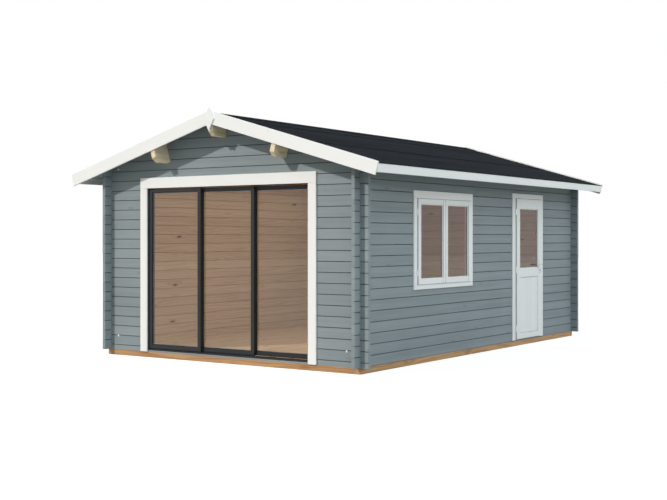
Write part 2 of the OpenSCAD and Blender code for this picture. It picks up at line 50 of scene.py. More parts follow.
class Finish:
    """A material under way: its nodes and its Principled skin"""

    def __init__(self, name):
        self.material = bpy.data.materials.new(name)
        self.material.use_nodes = True
        self.tree = self.material.node_tree
        self.skin = self.tree.nodes["Principled BSDF"]

    def add(self, kind, inputs=None, **settings):
        node = self.tree.nodes.new(kind)
        for name, value in settings.items():
            setattr(node, name, value)
        for name, value in (inputs or {}).items():
            self.plug(node.inputs[name], value)
        return node

    def plug(self, socket, value):
        """Links an input to another node, or sets its value"""
        if isinstance(value, bpy.types.NodeSocket):
            self.tree.links.new(value, socket)
        else:
            socket.default_value = value

    def lay(self, name, value):
        """Sets or links one input of the skin"""
        self.plug(self.skin.inputs[name], value)

    def grain(self, along=1.0, across=1.0, shift=0.0):
        """The board's own directions, stretched: x runs with the grain"""
        read = self.add("ShaderNodeAttribute", attribute_name="grain")
        move = self.add("ShaderNodeMapping", {"Vector": read.outputs["Vector"]})
        move.inputs["Scale"].default_value = (along, across, across)
        move.inputs["Location"].default_value = (shift, shift, shift)
        return move.outputs["Vector"]

    def spot(self, scale=(1.0, 1.0, 1.0)):
        """The place on the object, stretched"""
        read = self.add("ShaderNodeTexCoord")
        move = self.add("ShaderNodeMapping", {"Vector": read.outputs["Object"]})
        move.inputs["Scale"].default_value = scale
        return move.outputs["Vector"]

    def noise(self, where, scale, detail=3.0, rough=0.55, bend=0.0):
        return self.add("ShaderNodeTexNoise", {
            "Vector": where, "Scale": scale, "Detail": detail,
            "Roughness": rough, "Distortion": bend}).outputs["Fac"]

    def curve(self, value, low, high, to_low=0.0, to_high=1.0, smooth=False):
        """Stretches low..high of a value to to_low..to_high"""
        node = self.add("ShaderNodeMapRange", {
            "From Min": low, "From Max": high, "To Min": to_low, "To Max": to_high})
        node.interpolation_type = "SMOOTHSTEP" if smooth else "LINEAR"
        self.tree.links.new(value, node.inputs["Value"])
        return node.outputs["Result"]

    def sum(self, how, first, second):
        node = self.add("ShaderNodeMath", operation=how)
        for i, value in enumerate((first, second)):
            self.plug(node.inputs[i], value)
        return node.outputs["Value"]

    def tint(self, share, first, second, how="MIX"):
        """Mixes two colours by a share"""
        node = self.add("ShaderNodeMix", data_type="RGBA", blend_type=how)
        for i, value in ((0, share), (6, first), (7, second)):
            self.plug(node.inputs[i], value)
        return node.outputs[2]

    def tone(self):
        """Each board's own lightness, from -1 to 1"""
        return self.add("ShaderNodeAttribute", attribute_name="tone").outputs["Fac"]

    def relief(self, height, depth, strength=1.0):
        node = self.add("ShaderNodeBump", {
            "Height": height, "Distance": depth, "Strength": strength})
        self.lay("Normal", node.outputs["Normal"])


def colour(red, green, blue):
    """A colour written as 0 to 255 in each part, as linear light"""
    parts = []
    for part in (red, green, blue):
        c = part / 255
        parts.append(c / 12.92 if c <= 0.04045 else ((c + 0.055) / 1.055) ** 2.4)
    return (*parts, 1.0)


def natural_wood(name, pale, deep, knot, knots=0.10, gloss=0.62, depth=0.0006):
    """Bare softwood: growth rings pulled round knots, fine pores, board tones"""
    f = Finish(name)
    cells = f.add("ShaderNodeTexVoronoi", {
        "Vector": f.grain(1.9, 6.5), "Scale": 1.0, "Randomness": 0.9})
    near = cells.outputs["Distance"]
    pull = f.curve(near, 0.0, 0.45, 0.5, 0.0, smooth=True)
    wander = f.noise(f.grain(0.5, 5.0), 1.0, 2.0)
    read = f.add("ShaderNodeSeparateXYZ", {"Vector": f.grain(1.0, 1.0)})
    across = f.sum("ADD", read.outputs["Y"], f.sum("MULTIPLY", read.outputs["Z"], 0.45))
    bent = f.sum("ADD", f.sum("MULTIPLY", across, 26.0), f.sum("MULTIPLY", wander, 7.0))
    bent = f.sum("ADD", bent, f.sum("MULTIPLY", pull, 2.4))
    ring = f.sum("SINE", f.sum("MULTIPLY", bent, 6.2832), 0.0)
    ring = f.curve(ring, -1.0, 1.0, 0.0, 1.0)
    ring = f.sum("POWER", ring, 1.8)
    pores = f.noise(f.grain(3.0, 260.0), 1.0, 3.0, 0.6)
    cloud = f.noise(f.grain(0.9, 9.0, 7.0), 1.0, 3.0)
    share = f.sum("ADD", f.sum("MULTIPLY", ring, 0.42), f.curve(cloud, 0.3, 0.7, -0.12, 0.34))
    share = f.sum("ADD", share, f.curve(pores, 0.3, 0.7, -0.10, 0.12))
    share = f.sum("ADD", share, f.sum("MULTIPLY", f.tone(), 0.16))
    wood = f.tint(share, pale, deep)
    halo = f.curve(near, knots, knots * 2.1, 0.55, 0.0, smooth=True)
    heart = f.curve(near, knots * 0.55, knots, 1.0, 0.0, smooth=True)
    wood = f.tint(halo, wood, deep)
    wood = f.tint(heart, wood, knot)
    f.lay("Base Color", wood)
    f.lay("Roughness", f.curve(pores, 0.2, 0.8, gloss - 0.06, gloss + 0.10))
    f.lay("Specular IOR Level", 0.35)
    f.relief(f.sum("ADD", f.sum("MULTIPLY", ring, 0.6), pores), depth, 0.55)
    return f.material


def inset(outline, trims):
    """An outline with each side moved inwards by its own trim"""
    count = len(outline)
    lines = []
    for i in range(count):
        (x0, y0), (x1, y1) = outline[i], outline[(i + 1) % count]
        length = math.hypot(x1 - x0, y1 - y0)
        nx, ny = -(y1 - y0) / length, (x1 - x0) / length
        lines.append((nx, ny, nx * x0 + ny * y0 + trims[i]))
    corners = []
    for i in range(count):
        (a, b, c), (d, e, g) = lines[i - 1], lines[i]
        det = a * e - b * d
        corners.append(((c * e - b * g) / det, (a * g - c * d) / det))
    return corners


def looking(side, at=(0.0, 0.0, 0.0)):
    """Where a board's face looks: its x, its y and outwards, as a matrix"""
    x, y = {
        "front": ((1, 0, 0), (0, 0, 1)), "rear": ((-1, 0, 0), (0, 0, 1)),
        "right": ((0, 1, 0), (0, 0, 1)), "left": ((0, -1, 0), (0, 0, 1)),
        "up": ((0, 1, 0), (-1, 0, 0)),
    }[side]
    x, y = Vector(x), Vector(y)
    turn = Matrix((x, y, x.cross(y))).transposed().to_4x4()
    return Matrix.Translation(Vector(at)) @ turn


def piece_of(name, points, faces, *materials):
    """A new piece from its points and faces"""
    mesh = bpy.data.meshes.new(name)
    mesh.from_pydata(points, [], faces)
    for material in materials:
        mesh.materials.append(material)
    mesh.update()
    piece = bpy.data.objects.new(name, mesh)
    bpy.context.scene.collection.objects.link(piece)
    return piece


def mark(mesh, grains, tones):
    """Writes each point's place in its board's grain, and its board's tone"""
    grain = mesh.attributes.new("grain", "FLOAT_VECTOR", "POINT")
    grain.data.foreach_set("vector", [x for g in grains for x in g])
    tone = mesh.attributes.new("tone", "FLOAT", "POINT")
    tone.data.foreach_set("value", tones)


class Boards:
    """Boards of one piece, each a closed solid with eased edges and its own grain"""

    def __init__(self, name):
        self.name = name
        self.points, self.faces, self.skins = [], [], []
        self.grains, self.tones = [], []

    def cut(self, outline, place, thick, ease=0.0015, trims=None, seed=0,
            run=0.0, skins=(0, 0, 0), depth=None, lean=0.0, back_ease=None, joints=None):
        """One board: its face has this outline, and skins are for its face,
        its edges and its back. lean lifts the top edge towards the back, and
        joints gives the eased sides of a joint skins of their own, darker ones that paint the shade
        in the joint."""
        trims = trims or [ease] * len(outline)
        depth = ease if depth is None else depth
        back_trims = trims if back_ease is None else [back_ease] * len(outline)
        back_depth = depth if back_ease is None else back_ease
        top = max(p[1] for p in outline) - 1e-6
        rings = [
            (inset(outline, trims), 0.0), (outline, depth),
            (outline, thick - back_depth), (inset(outline, back_trims), thick)]
        dice = random.Random(seed)
        shift = [dice.uniform(0, 60) for _ in range(3)]
        tone = dice.uniform(-1, 1)
        c, s = math.cos(run), math.sin(run)
        first, n = len(self.points), len(outline)
        for ring, down in rings:
            for (u, v), (_, flat_v) in zip(ring, outline):
                if lean and flat_v >= top:
                    v += lean * down / thick
                self.points.append(place @ Vector((u, v, -down)))
                self.grains.append((
                    u * c + v * s + shift[0], v * c - u * s + shift[1], shift[2] - down))
                self.tones.append(tone)
        self.faces.append([first + i for i in range(n)])
        self.skins.append(skins[0])
        for k, skin in ((0, skins[0]), (1, skins[1]), (2, skins[2])):
            for i in range(n):
                a, b = first + k * n + i, first + k * n + (i + 1) % n
                self.faces.append([b, a, a + n, b + n])
                self.skins.append((joints or {}).get((k, i), skin))
        self.faces.append([first + 3 * n + i for i in reversed(range(n))])
        self.skins.append(skins[2])

    def block(self, low, high, side, ease=0.0015, **more):
        """A straight board given by its two corners and the way its face looks"""
        low, high = Vector(low), Vector(high)
        place = looking(side)
        turn = place.to_3x3().transposed()
        a, b = turn @ low, turn @ high
        x0, x1 = sorted((a.x, b.x))
        y0, y1 = sorted((a.y, b.y))
        z0, z1 = sorted((a.z, b.z))
        place = place @ Matrix.Translation((0, 0, z1))
        self.cut([(x0, y0), (x1, y0), (x1, y1), (x0, y1)], place, z1 - z0, ease, **more)

    def done(self, body, slot, materials, *nodes):
        piece = piece_of(self.name, self.points, self.faces, *materials)
        piece.data.polygons.foreach_set("material_index", self.skins)
        mark(piece.data, self.grains, self.tones)
        piece.data.update()
        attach(piece, body)
        if nodes:
            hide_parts(*nodes)
        return piece


oiled_pine = natural_wood(
    "oiled_pine", colour(199, 157, 113), colour(149, 102, 62), colour(90, 54, 30),
    gloss=0.55)

low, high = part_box("base_side_beams")
beam_w = 0.070
base_top = high.z
beams = Boards("base_side_beams_sawn")
for i, x in enumerate((low.x, high.x - beam_w)):
    beams.block((x, low.y, 0), (x + beam_w, high.y, base_top), "right", 0.002, seed=10 + i)
beams.done("house", "base_timber", [oiled_pine], "base_side_beams")

low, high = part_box("base_cross_beams")
bearers = 7
step = (high.y - low.y - beam_w) / (bearers + 1)
beams = Boards("base_cross_beams_sawn")
for i in range(bearers + 2):
    y = low.y + i * step
    side = "rear" if i > bearers else "front"
    beams.block((low.x, y, 0), (high.x, y + beam_w, base_top), side, 0.002, seed=20 + i)
beams.done("house", "base_timber", [oiled_pine], "base_cross_beams")


# --- Log walls ------------------------------------------------------------
# Spruce logs, 44 mm thick and 114 mm high, with a V joint where two meet. They
# are halved over each other at the corners, their ends stand 100 mm past, and
# the outside is stained grey-blue while the inside is left bare.


def painted_wood(name, light, dark, gloss=0.5, streak=0.5, knots=0.06, depth=0.0005):
    """Paint on planed softwood: the grain and the knots show through a little"""
    f = Finish(name)
    fibre = f.noise(f.grain(1.6, 120.0), 1.0, 4.0, 0.6)
    band = f.noise(f.grain(0.7, 22.0, 3.0), 1.0, 3.0, 0.55)
    cloud = f.noise(f.spot(), 1.3, 3.0, 0.5)
    near = f.add("ShaderNodeTexVoronoi", {
        "Vector": f.grain(1.7, 6.0), "Scale": 1.0, "Randomness": 0.9}).outputs["Distance"]
    share = f.sum("ADD", f.curve(fibre, 0.3, 0.7, 0.0, 0.34 * streak),
                  f.curve(band, 0.3, 0.7, 0.0, 0.5 * streak))
    share = f.sum("ADD", share, f.curve(cloud, 0.35, 0.65, 0.0, 0.22))
    share = f.sum("ADD", share, f.curve(near, knots, knots * 1.8, 0.35, 0.0, smooth=True))
    share = f.sum("ADD", share, f.sum("MULTIPLY", f.tone(), 0.16))
    f.lay("Base Color", f.tint(share, light, dark))
    f.lay("Roughness", f.curve(f.sum("ADD", band, fibre), 0.7, 1.3, gloss - 0.05, gloss + 0.11))
    f.lay("Specular IOR Level", 0.4)
    f.relief(f.sum("ADD", fibre, f.sum("MULTIPLY", band, 1.5)), depth, 0.5)
    return f.material


grey_stain = painted_wood(
    "grey_stain", colour(146, 156, 160), colour(118, 129, 133), gloss=0.58)
# A darker copy of the grey stain for the sides of the V joints and the tongues seen through them:
# painted shade in the joint
painted_shade_grey_joint = painted_wood(
    "painted_shade_grey_joint", colour(86, 100, 109), colour(68, 80, 89), gloss=0.66)
bare_spruce = natural_wood(
    "bare_spruce", colour(238, 214, 174), colour(208, 170, 120), colour(92, 58, 34))
# A darker copy of the bare spruce for the joints on the inside: painted shade in the joint
painted_shade_spruce_joint = natural_wood(
    "painted_shade_spruce_joint", colour(206, 172, 126), colour(176, 138, 92), colour(80, 50, 30))

pitch = math.radians(16.3)
slope = math.tan(pitch)
left_low, left_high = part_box("left_wall")
house_half = -left_low.x
log_h, log_t, log_end = 0.114, 0.044, 0.100
front_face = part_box("front_gable")[0].y
rear_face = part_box("rear_wall")[1].y
roof_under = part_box("ridge_purlin")[1].z
ridge_drop, purlin_half, purlin_out = 0.235, 0.030, 0.895
joint_gap, joint_trim = 0.0014, 0.0028
joint_depth, end_trim = 0.0045, 0.004
tongue_half, tongue_short, tongue_in = 0.008, 0.006, 0.011


def keep(outline, a, b, c):
    """The part of a convex outline where a * x + b * y is at most c"""
    kept = []
    for i, (x0, y0) in enumerate(outline):
        x1, y1 = outline[(i + 1) % len(outline)]
        d0, d1 = a * x0 + b * y0 - c, a * x1 + b * y1 - c
        if d0 <= 1e-7:
            kept.append((x0, y0))
        if (d0 < -1e-7 and d1 > 1e-7) or (d0 > 1e-7 and d1 < -1e-7):
            t = d0 / (d0 - d1)
            kept.append((x0 + t * (x1 - x0), y0 + t * (y1 - y0)))
    tidy = []
    for p in kept:
        if not tidy or math.dist(p, tidy[-1]) > 1e-5:
            tidy.append(p)
    if len(tidy) > 1 and math.dist(tidy[0], tidy[-1]) <= 1e-5:
        tidy.pop()
    return tidy if len(tidy) > 2 else []


def under_roof(outline):
    """The part of an outline that lies under both slopes of the roof"""
    outline = keep(outline, slope, 1, roof_under)
    return keep(outline, -slope, 1, roof_under) if outline else []


def purlin_slots():
    """The three purlins' sections, each as its left, right and lower side"""
    slots = [[(1, 0, purlin_half), (-1, 0, purlin_half), (0, -1, ridge_drop - roof_under)]]
    for s in (-1, 1):
        mid = (s * purlin_out, roof_under - purlin_out * slope)
        along = (math.cos(pitch), -s * math.sin(pitch))
        up = (s * math.sin(pitch), math.cos(pitch))
        centre = mid[0] * along[0] + mid[1] * along[1]
        foot = mid[0] * up[0] + mid[1] * up[1] - ridge_drop
        slots.append([
            (along[0], along[1], centre + purlin_half),
            (-along[0], -along[1], purlin_half - centre), (-up[0], -up[1], -foot)])
    return slots


def round_slots(outline):
    """An outline less the three purlins, as convex parts"""
    parts = [outline]
    for slot in purlin_slots():
        left = []
        for part in parts:
            rest = part
            for a, b, c in slot:
                outer = keep(rest, -a, -b, -c)
                if outer:
                    left.append(outer)
                rest = keep(rest, a, b, c)
                if not rest:
                    break
        parts = left
    return parts


def wall_of_logs(node, side, u0, u1, z0, z1, first, crossings, ends, gable=False, lean=0.0):
    """Every log of one stretch of wall. first is the height of the wall's first
    joint, crossings are the corner squares and ends the log ends that show."""
    at = {"front": (0, front_face, 0), "rear": (0, rear_face, 0),
          "left": (-house_half, 0, 0), "right": (house_half, 0, 0)}[side]
    place = looking(side, at)
    logs = Boards(node + "_logs")
    course, foot = 0, first - log_h
    while foot < z1 - 1e-4:
        a, b = max(foot, z0), min(foot + log_h, z1)
        if b - a > 0.002:
            stops = [u0]
            for c0, c1 in crossings:
                stops += [c for c in (c0, c1) if u0 < c < u1]
            stops = sorted(stops + [u1])
            for u, w in zip(stops, stops[1:]):
                mid = (u + w) / 2
                crossing = any(c0 < mid < c1 for c0, c1 in crossings)
                outside = mid < min(c[0] for c in crossings) or mid > max(c[1] for c in crossings)
                za, zb = a, b
                if crossing:
                    za, zb = max(a, foot + log_h / 4), min(b, foot + log_h * 3 / 4)
                if zb - za < 0.002:
                    continue
                outline = [(u, za), (w, za), (w, zb), (u, zb)]
                if gable:
                    outline = under_roof(outline)
                if not outline:
                    continue
                parts = round_slots(outline) if gable else [outline]
                for part in parts:
                    trims, shadows = [], {}
                    for i, ((xa, ya), (xb, yb)) in enumerate(zip(part, part[1:] + part[:1])):
                        flat = abs(ya - yb) < 1e-6 and not crossing
                        joint = min(abs(ya - foot), abs(ya - foot - log_h)) < 1e-5
                        end = abs(xa - xb) < 1e-6 and any(abs(xa - e) < 1e-6 for e in ends)
                        trims.append(joint_trim if flat and joint else end_trim if end else 0.0)
                        # The eased sides and edges of each joint take the darker copies: painted
                        # shade in the V joint
                        if flat and joint:
                            shadows[(0, i)] = 2
                            shadows[(1, i)] = 2 if outside else 3
                            shadows[(2, i)] = 2 if outside else 3
                    shy = 0.0 if crossing else joint_gap
                    ends_cut = [(x, y + shy if abs(y - foot) < 1e-6 else
                                 y - shy if abs(y - foot - log_h) < 1e-6 else y) for x, y in part]
                    skins = (0, 0, 0) if outside else (0, 1, 1)
                    top = lean if abs(zb - z1) < 1e-6 and not crossing else 0.0
                    logs.cut(ends_cut, place, log_t, trims=trims, depth=joint_depth,
                             seed=grain_seed(side, course), skins=skins, lean=top, joints=shadows)
                # Each joint's tongue shows through the gap and is cut in the darker copies: painted
                # shade behind the joint
                if a == foot and not crossing and a > z0 + 1e-4:
                    ua, wa = u + tongue_short, w - tongue_short
                    tongue = [(ua, a - tongue_half), (wa, a - tongue_half),
                              (wa, a + tongue_half), (ua, a + tongue_half)]
                    if gable:
                        tongue = under_roof(tongue)
                    for part in (round_slots(tongue) if gable and tongue else [tongue]):
                        if part:
                            logs.cut(part, place @ Matrix.Translation((0, 0, -tongue_in)),
                                     log_t - 2 * tongue_in, trims=[0.0] * len(part), depth=0.001,
                                     skins=(2, 2, 2 if outside else 3))
        foot += log_h
        course += 1
    return logs.done("house", "wall_paint", [grey_stain, bare_spruce, painted_shade_grey_joint,
                                             painted_shade_spruce_joint], node)


def grain_seed(side, course):
    """The same grain for one log on both sides of an opening"""
    return {"front": 1000, "rear": 2000, "left": 3000, "right": 4000}[side] + course


side_first = base_top + log_h
cross_first = base_top + log_h / 2
cross_corners = [(-house_half, -house_half + log_t), (house_half - log_t, house_half)]
side_corners = [(front_face, front_face + log_t), (rear_face - log_t, rear_face)]
cross_ends = (-house_half - log_end, house_half + log_end)
side_ends = (front_face - log_end, rear_face + log_end)
flipped = [(-b, -a) for a, b in side_corners]

for node in ("front_wall_left", "front_wall_right", "front_gable"):
    low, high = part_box(node)
    top = roof_under if node == "front_gable" else high.z
    wall_of_logs(node, "front", low.x, high.x, low.z, top, cross_first, cross_corners,
                 cross_ends, gable=True)
low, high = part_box("rear_wall")
wall_of_logs("rear_wall", "rear", -high.x, -low.x, low.z, roof_under, cross_first,
             cross_corners, cross_ends, gable=True)
rise = log_t * slope
wall_of_logs("left_wall", "left", -left_high.y, -left_low.y, left_low.z, left_high.z - rise,
             side_first, flipped, side_ends, lean=rise)
for node in ("right_wall_front", "right_wall_below_window", "right_wall_above_window",
             "right_wall_middle", "right_wall_rear", "right_wall_top"):
    low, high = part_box(node)
    lean = rise if node == "right_wall_top" else 0.0
    wall_of_logs(node, "right", low.y, high.y, low.z, high.z - lean, side_first,
                 side_corners, side_ends, lean=lean)


# --- Corner bolts ---------------------------------------------------------
# Galvanised cup-head bolts that tie the stack of logs together near the
# corners, each on a round washer pressed a little into the wood.


def worn_metal(name, pale, deep, gloss=0.38):
    """Zinc-coated steel: soft spangle and fine scratches"""
    f = Finish(name)
    spangle = f.add("ShaderNodeTexVoronoi", {
        "Vector": f.spot(), "Scale": 420.0, "Randomness": 1.0}).outputs["Color"]
    grey = f.add("ShaderNodeRGBToBW", {"Color": spangle}).outputs["Val"]
    haze = f.noise(f.spot(), 60.0, 4.0)
    f.lay("Base Color", f.tint(f.curve(grey, 0.2, 0.8), pale, deep))
    f.lay("Metallic", 1.0)
    f.lay("Roughness", f.curve(haze, 0.3, 0.7, gloss - 0.08, gloss + 0.14))
    f.relief(haze, 0.00015, 0.4)
    return f.material


def skin_of(rings, steps):
    """The faces over a stack of rings of points, closed at both ends"""
    faces = [list(reversed(range(steps))), [(rings - 1) * steps + k for k in range(steps)]]
    for r in range(rings - 1):
        for k in range(steps):
            a, b = r * steps + k, r * steps + (k + 1) % steps
            faces.append([a, b, b + steps, a + steps])
    return faces


def turned(name, profile, place, material, steps=28):
    """A round piece turned from a profile of (radius, height) pairs"""
    points = []
    for radius, height in profile:
        for k in range(steps):
            a = 2 * math.pi * k / steps
            points.append(place @ Vector((radius * math.cos(a), radius * math.sin(a), height)))
    piece = piece_of(name, points, skin_of(len(profile), steps), material)
    for p in piece.data.polygons:
        p.use_smooth = len(p.vertices) == 4
    return piece


zinc = worn_metal("zinc", colour(226, 228, 230), colour(190, 194, 198))
bolt_in, bolt_heights = 0.165, (0.227, 2.204)
bolt_spots = [(s * (house_half - bolt_in), z) for s in (-1, 1) for z in bolt_heights]
washer_and_head = [
    (0.0125, 0.0), (0.0125, 0.0012), (0.0120, 0.0016), (0.0088, 0.0016),
    (0.0086, 0.0026), (0.0074, 0.0044), (0.0052, 0.0058), (0.0022, 0.0065)]
for side, face in (("front", front_face), ("rear", rear_face)):
    for i, (x, z) in enumerate(bolt_spots):
        bolt = turned(f"corner_bolt_{side}_{i}", washer_and_head, looking(side, (x, face, z)), zinc)
        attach(bolt, "house")


# --- Floor ----------------------------------------------------------------
# Planed spruce boards, tongued together and nailed across the bearers, running
# from the front to the rear and left bare.

floor_low, floor_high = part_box("floor")
board_w, board_count = 0.1098, 32
side_gap, butt_gap, joint_off = 0.0008, 0.0004, 0.009
boards = Boards("floor_planks")
dice = random.Random(77)
for i in range(board_count):
    x0 = floor_low.x + i * board_w
    x1 = min(x0 + board_w - side_gap, floor_high.x)
    joint = floor_low.y + step * dice.choice((2, 3, 4, 5, 6)) - joint_off
    halves = ((floor_low.y, joint - butt_gap), (joint + butt_gap, floor_high.y))
    for k, (y0, y1) in enumerate(halves):
        boards.block((x0, y0, floor_low.z), (x1, y1, floor_high.z), "up", 0.0012,
                     seed=500 + 2 * i + k, back_ease=0.0005)
boards.done("house", "floor_boards", [bare_spruce], "floor")


# --- Door sills -----------------------------------------------------------
# Stained strips of spruce on the base timbers that fill both doorways up to
# the floor, cut from the same stock as the logs.

sills = Boards("sill_strips")
gap_half = -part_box("front_wall_left")[1].x
sills.block((-gap_half, front_face, base_top), (gap_half, front_face + log_t, floor_high.z),
            "front", 0.0015, seed=601)
door_low, door_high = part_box("side_door_frame")
sills.block((house_half - log_t, door_low.y, base_top), (house_half, door_high.y, floor_high.z),
            "right", 0.0015, seed=602)
sills.done("house", "wall_paint", [grey_stain], "door_sills")


# --- Purlins --------------------------------------------------------------
# Three solid spruce beams, 60 by 235 mm, let into both gables. They carry the
# roof, stand out under the overhangs, and have their lower corners bevelled.

roof_front, roof_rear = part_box("roof_felt")[0].y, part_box("roof_felt")[1].y
bevel, ridge_shy = 0.048, 0.0088
purlin_spruce = natural_wood(
    "purlin_spruce", colour(244, 230, 202), colour(222, 196, 154), colour(104, 68, 40))


def purlin(boards, mid_x, lean, seed):
    """One beam, drawn from its side and leaning square to the roof"""
    turn = Matrix.Rotation(lean, 4, "Y")
    top = roof_under - abs(mid_x) * slope
    place = Matrix.Translation((mid_x, 0, top)) @ turn @ looking("right", (purlin_half, 0, 0))
    y0, y1, foot = roof_front, roof_rear, -ridge_drop
    crown = -ridge_shy if mid_x == 0 else 0.0
    boards.cut([(y0 + bevel, foot), (y1 - bevel, foot), (y1, foot + bevel), (y1, crown),
                (y0, crown), (y0, foot + bevel)], place, 2 * purlin_half, 0.003, seed=seed)


beam = Boards("ridge_purlin_beam")
purlin(beam, 0.0, 0.0, 701)
beam.done("house", "bare_spruce", [purlin_spruce], "ridge_purlin")
beam = Boards("side_purlin_beams")
for s in (-1, 1):
    purlin(beam, s * purlin_out, s * pitch, 702 + s)
beam.done("house", "bare_spruce", [purlin_spruce], "side_purlins")


# --- Roof boards ----------------------------------------------------------
# Tongued spruce boards, 18 mm thick, laid from the ridge down to the eaves
# side by side and nailed to the purlins. Their planed side shows underneath:
# bare in the room, and stained like the walls where the roof stands over them.

board_t, board_gap = 0.018, 0.0003
plumb = 1 / math.cos(pitch)
roof_boards_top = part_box("roof_boards_right")[1].z
board_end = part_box("roof_boards_right")[1].x


def down_slope(s):
    """A place on the roof boards' top: x runs down the slope, y along the house"""
    x = Vector((s * math.cos(pitch), 0, -math.sin(pitch)))
    y = Vector((0, s, 0))
    turn = Matrix((x, y, x.cross(y))).transposed().to_4x4()
    return Matrix.Translation((0, 0, roof_boards_top)) @ turn


count = 61
run = (roof_rear - roof_front) / count
wall_mid = house_half - log_t / 2
for s, node in ((-1, "roof_boards_left"), (1, "roof_boards_right")):
    boards = Boards(node + "_laid")
    start, end = board_t * slope + board_gap, board_end * plumb
    for i in range(count):
        y0, y1 = sorted((s * (roof_front + i * run), s * (roof_front + (i + 1) * run)))
        mid_y = roof_front + (i + 0.5) * run
        overhang = mid_y < front_face + log_t / 2 or mid_y > rear_face - log_t / 2
        split = start if overhang else wall_mid * plumb
        for a, b, skin in ((start, split, 0), (split, end, 1)):
            if b > a:
                boards.cut([(a, y0 + board_gap), (b, y0 + board_gap), (b, y1 - board_gap),
                            (a, y1 - board_gap)], down_slope(s), board_t, 0.0004,
                           seed=800 + 100 * s + i, back_ease=0.004, skins=(skin, skin, skin))
    boards.done("house", "bare_spruce", [bare_spruce, grey_stain], node)


# --- Roof felt ------------------------------------------------------------
# Bitumen felt with dark slate granules, in strips laid along the house from
# the eaves up, each lapping the one below, with a cap strip over the ridge.


def slate_felt(name):
    f = Finish(name)
    grit = f.noise(f.spot(), 420.0, 2.0, 0.7)
    blotch = f.noise(f.spot((1.0, 0.22, 1.0)), 2.2, 4.0, 0.6)
    streak = f.noise(f.spot((14.0, 0.5, 14.0)), 1.0, 4.0, 0.6)
    wear = f.sum("ADD", f.curve(blotch, 0.36, 0.66, 0.0, 0.5), f.curve(streak, 0.42, 0.7, 0.0, 0.62))
    base = f.tint(wear, colour(10, 14, 19), colour(31, 36, 41))
    base = f.tint(f.curve(grit, 0.42, 0.66, 0.0, 0.35), base, colour(42, 49, 55))
    base = f.tint(f.sum("ADD", f.sum("MULTIPLY", f.tone(), 0.08), 0.08), base, colour(36, 42, 47))
    f.lay("Base Color", base)
    f.lay("Roughness", f.curve(grit, 0.3, 0.7, 0.78, 0.95))
    f.lay("Specular IOR Level", 0.02)
    f.relief(grit, 0.0012, 0.7)
    return f.material


felt = slate_felt("slate_felt")


def felt_strip(name, s, x0, x1, lower_lift, upper_lift, seed, cap=False):
    """A strip from x0 down to x1 on one slope, in a fine grid that lies a little
    uneven, lifted where it laps another"""
    dice = random.Random(seed)
    waves = [(dice.uniform(0.4, 3.2), dice.uniform(0, 6.3), dice.uniform(0.2, 1.0)) for _ in range(6)]
    place = down_slope(s)
    rows, steps, thick = 22, 150, 0.0032
    points, faces, grains = [], [], []
    for top in (True, False):
        for r in range(rows + 1):
            t = r / rows
            for k in range(steps + 1):
                y = roof_front + (roof_rear - roof_front) * k / steps
                swell = sum(h * math.sin(q * y * 2 + p + 3 * t) for q, p, h in waves) / 6
                x = x0 + (x1 - x0) * t
                if r == rows and not cap:
                    x -= 0.0012 + 0.0012 * math.sin(3.1 * y + seed)
                rest = min(1.0, t * (x1 - x0) / 0.16)
                low_end = min(1.0, (1 - t) * (x1 - x0) / 0.20)
                lift = upper_lift * (1 - rest) + lower_lift * (1 - low_end)
                lift += 0.0003 + 0.0006 * (1 + swell) * min(rest, low_end) + (thick if top else 0)
                if top and (r in (0, rows)):
                    lift -= 0.0008
                points.append(place @ Vector((x * plumb, s * y, lift)))
                grains.append((y, x, lift))
    side = (rows + 1) * (steps + 1)
    for r in range(rows):
        for k in range(steps):
            a = r * (steps + 1) + k
            b, c, d = a + 1, a + steps + 2, a + steps + 1
            up, under = [a, b, c, d], [side + d, side + c, side + b, side + a]
            faces.append(up if s < 0 else up[::-1])
            faces.append(under if s < 0 else under[::-1])
    edge = [k for k in range(steps + 1)]
    edge += [r * (steps + 1) + steps for r in range(1, rows + 1)]
    edge += [rows * (steps + 1) + k for k in reversed(range(steps))]
    edge += [r * (steps + 1) for r in reversed(range(1, rows))]
    for a, b in zip(edge, edge[1:] + edge[:1]):
        wall = [b, a, side + a, side + b]
        faces.append(wall if s < 0 else wall[::-1])
    strip = piece_of(name, points, faces, felt)
    mark(strip.data, grains, [dice.uniform(-1, 1)] * len(points))
    strip.data.update()
    strip.data.shade_smooth()
    for p in strip.data.polygons[2 * rows * steps:]:
        p.use_smooth = False
    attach(strip, "house")
    return strip


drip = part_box("roof_felt")[1].x
strips, lap = [], 0.0036
for s, word in ((-1, "left"), (1, "right")):
    courses = [(1.210, drip, 0.0, 0.0), (0.330, 1.300, lap, 0.0), (0.004, 0.420, lap, 0.0)]
    for i, (x0, x1, low_lift, up_lift) in enumerate(courses):
        strips.append(felt_strip(f"felt_{word}_{i}", s, x0, x1, low_lift, up_lift, 40 + 7 * i + s))
    strips.append(felt_strip(f"felt_cap_{word}", s, 0.0, 0.150, lap, lap, 90 + s, cap=True))
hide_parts("roof_felt")


# --- Eaves boards and bargeboards -----------------------------------------
# Planed spruce, 18 mm thick and painted white: a board along each eaves, a
# sloping pair on each gable that stands over the felt, and a diamond plate
# screwed over the joint at the peak.

white_paint = painted_wood(
    "white_paint", colour(250, 250, 249), colour(238, 239, 239), gloss=0.42, streak=0.35,
    knots=0.03)
# A darker copy of the white paint for the edges of the sashes and the door leaf: painted shade in the
# gaps round them
painted_shade_white_joint = painted_wood(
    "painted_shade_white_joint", colour(196, 199, 202), colour(170, 173, 176), gloss=0.6, knots=0.03)

low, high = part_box("eaves_boards")
trim_t = 0.018
trims = Boards("eaves_boards_planed")
for s, side in ((-1, "left"), (1, "right")):
    outer = high.z - trim_t * slope
    y0, y1 = sorted((s * low.y, s * high.y))
    trims.cut([(y0, low.z), (y1, low.z), (y1, outer), (y0, outer)],
              looking(side, (s * high.x, 0, 0)), trim_t, 0.002, seed=901 + s,
              lean=trim_t * slope)
trims.done("house", "white_paint", [white_paint], "eaves_boards")

